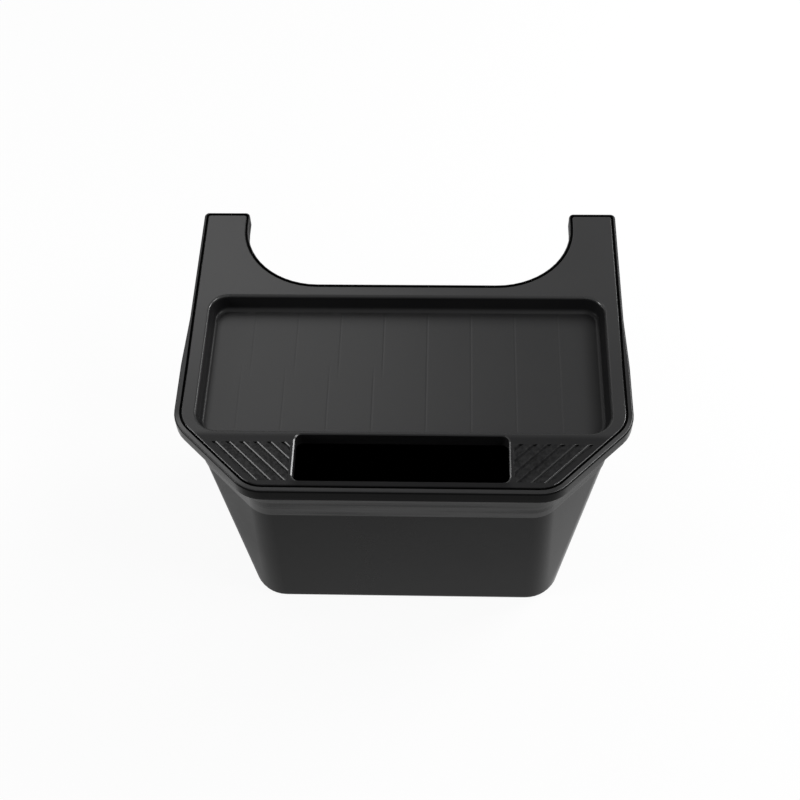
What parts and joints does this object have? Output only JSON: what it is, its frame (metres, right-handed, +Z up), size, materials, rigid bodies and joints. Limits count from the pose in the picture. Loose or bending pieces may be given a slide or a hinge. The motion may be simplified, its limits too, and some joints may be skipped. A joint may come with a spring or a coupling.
{
  "type": "rear console storage box with lid",
  "caption": "Tapered moulded storage box with ears that reach round a console, and a lift-off lid with a shallow tray and a dispensing slot.",
  "frame": {"origin": "under the middle of the rim's outline, on the surface the box stands on", "axes": "+Z up, +X to the right seen from the front, -Y towards the front with the slot, the ears reach back along +Y"},
  "size_m": [0.3, 0.236, 0.16],
  "materials": {
    "bin_plastic": "fine moulded texture on the walls, satin rim",
    "lid_plastic": "satin"
  },
  "bodies": {
    "bin": {"bin_body": "bin_plastic"},
    "lid": {"lid": "lid_plastic"}
  },
  "joints": [
    {"name": "lid_lift", "type": "slide", "parent": "bin", "child": "lid", "axis": [0, 0, 1], "range_m": [0, 0.08]}
  ]
}
